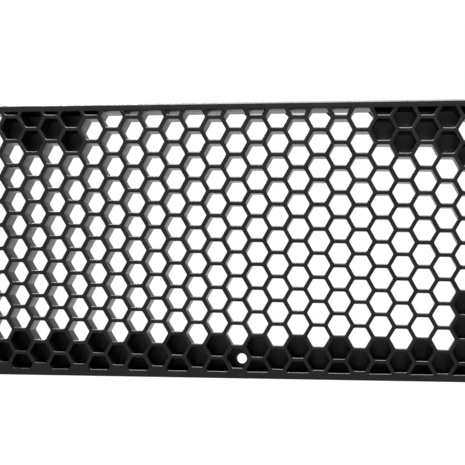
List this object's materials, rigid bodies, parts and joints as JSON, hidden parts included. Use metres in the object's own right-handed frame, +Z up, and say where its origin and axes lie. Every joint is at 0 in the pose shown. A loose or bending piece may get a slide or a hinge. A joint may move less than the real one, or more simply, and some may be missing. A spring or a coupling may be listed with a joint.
{
  "type": "vehicle front grille",
  "caption": "Flat black honeycomb grille panel with a narrow rounded border, with closed cells at the corners and along the bottom, held by spring clips, pins and one fixing hole.",
  "frame": {"origin": "centre of the lower fixing hole, on the back face of its boss", "axes": "+X along the panel to the right as seen from the front, +Y back along the cells, +Z up; the front faces -Y and leans forward at the top"},
  "size_m": [0.3701, 0.0828, 0.197],
  "materials": {
    "frame_plastic": "satin black moulded plastic",
    "honeycomb_plastic": "satin black moulded plastic",
    "plate_plastic": "fine-grained black moulded plastic",
    "screw_steel": "black zinc plated steel",
    "spring_steel": "zinc-flake coated spring steel",
    "foam": "closed-cell foam"
  },
  "bodies": {
    "root": {"honeycomb_panel": "honeycomb_plastic", "rear_frame": "frame_plastic", "upper_left_closing_plate": "plate_plastic", "upper_right_closing_plate": "plate_plastic", "lower_closing_rail": "plate_plastic", "right_end_plate": "plate_plastic", "left_end_plate": "plate_plastic", "upper_left_plate_screws": "screw_steel", "upper_right_plate_screws": "screw_steel", "lower_rail_screws": "screw_steel", "right_end_plate_screws": "screw_steel", "left_end_plate_screws": "screw_steel", "top_seal_strip": "foam", "upper_left_spring_clip": "spring_steel", "upper_left_foam_pad": "foam", "upper_right_spring_clip": "spring_steel", "upper_right_foam_pad": "foam", "lower_left_spring_clip": "spring_steel", "lower_left_foam_pad": "foam", "lower_right_spring_clip": "spring_steel", "lower_right_foam_pad": "foam"}
  },
  "joints": []
}
